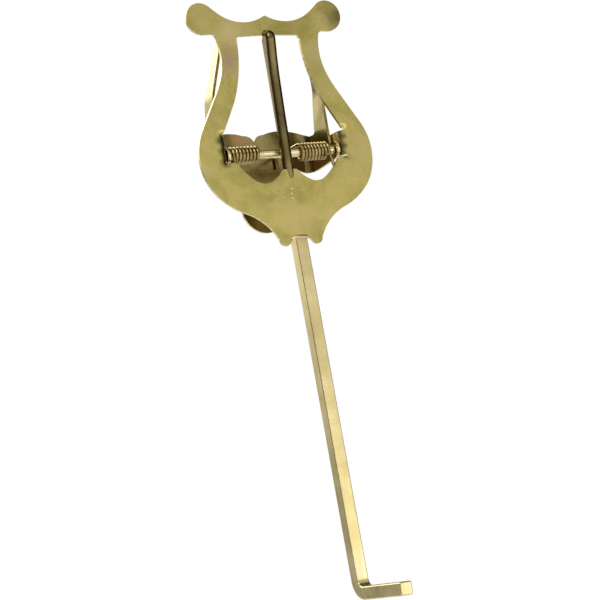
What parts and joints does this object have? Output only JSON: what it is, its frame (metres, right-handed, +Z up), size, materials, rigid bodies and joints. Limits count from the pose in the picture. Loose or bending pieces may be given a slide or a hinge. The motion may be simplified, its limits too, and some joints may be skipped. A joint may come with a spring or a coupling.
{
  "type": "music stand lyre clip",
  "caption": "Spring-clip music lyre: a lyre-shaped brass plate with a sprung rear jaw that grips sheet music, on a square shank bent into a forward foot.",
  "frame": {"origin": "centre of the foot's flat underside, on the plane of symmetry", "axes": "+Z up along the shank to the lyre, -Y forward where the foot and the lyre plate's face point, +X to the right seen from the front"},
  "size_m": [0.0606, 0.049, 0.1878],
  "materials": {
    "lyre_plate": "aged polished brass, slightly mottled",
    "jaw": "aged polished brass, warm",
    "shank": "polished brass bar",
    "springs": "drawn spring steel wire",
    "pin": "plated steel pin with peened heads",
    "sleeve": "drawn brass tube",
    "braze": "pale solder, as run"
  },
  "bodies": {
    "lyre": {"front_lyre_plate": "lyre_plate", "bent_shank": "shank", "braze_fillet": "braze", "hinge_pin": "pin", "spacer_sleeve": "sleeve", "left_spring": "springs", "right_spring": "springs"},
    "jaw": {"rear_jaw": "jaw"}
  },
  "joints": [
    {"name": "jaw_hinge", "type": "hinge", "parent": "lyre", "child": "jaw", "pos_m": [0, 0.0202, 0.14], "axis": [-1, 0, 0], "range_deg": [0, 32], "stiffness_Nm_per_rad": 0.06, "springref_deg": -28.65, "deforming": ["left_spring", "right_spring"]}
  ]
}
